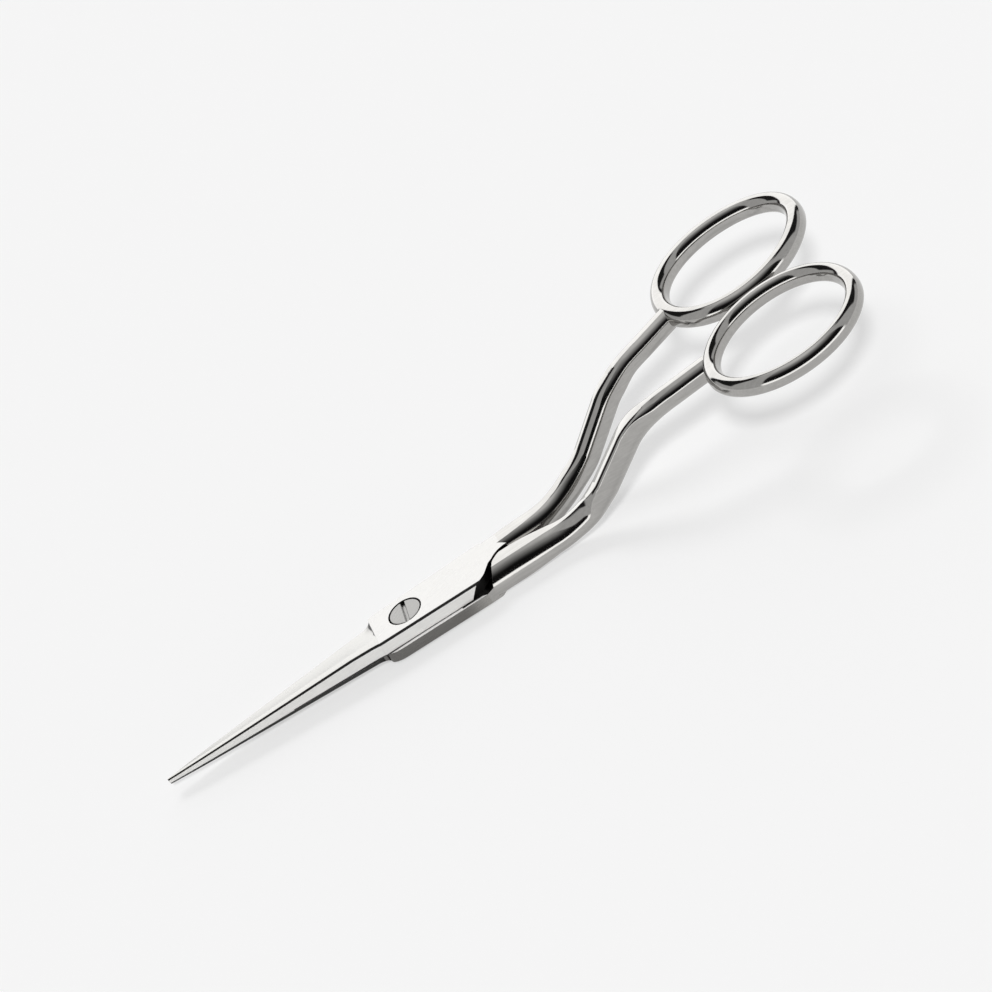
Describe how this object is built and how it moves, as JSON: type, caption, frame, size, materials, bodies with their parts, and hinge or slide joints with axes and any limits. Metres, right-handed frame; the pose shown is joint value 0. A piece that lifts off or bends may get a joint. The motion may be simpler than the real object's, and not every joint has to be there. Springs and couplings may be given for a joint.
{
  "type": "embroidery scissors",
  "caption": "Embroidery scissors with slender pointed blades, shanks bent upwards and oval finger bows; the halves turn about a slotted pivot screw.",
  "frame": {"origin": "bottom centre of the bounding box, on the plane of the lower half's flat underside", "axes": "+X from the blade tips towards the finger bows, +Y towards the upper half's bow, +Z along the pivot screw from the lower half to the upper"},
  "size_m": [0.155, 0.0596, 0.0237],
  "materials": {
    "plated_steel": "polished nickel plate, ground satin on the blades and joint faces",
    "screw_steel": "fine turned satin"
  },
  "bodies": {
    "lower": {"lower_half": "plated_steel", "pivot_screw": "screw_steel"},
    "upper": {"upper_half": "plated_steel"}
  },
  "joints": [
    {"name": "blade_pivot", "type": "hinge", "parent": "lower", "child": "upper", "pos_m": [-0.024, -0.00007, 0.00285], "axis": [0, 0, 1], "range_deg": [0, 60]}
  ]
}
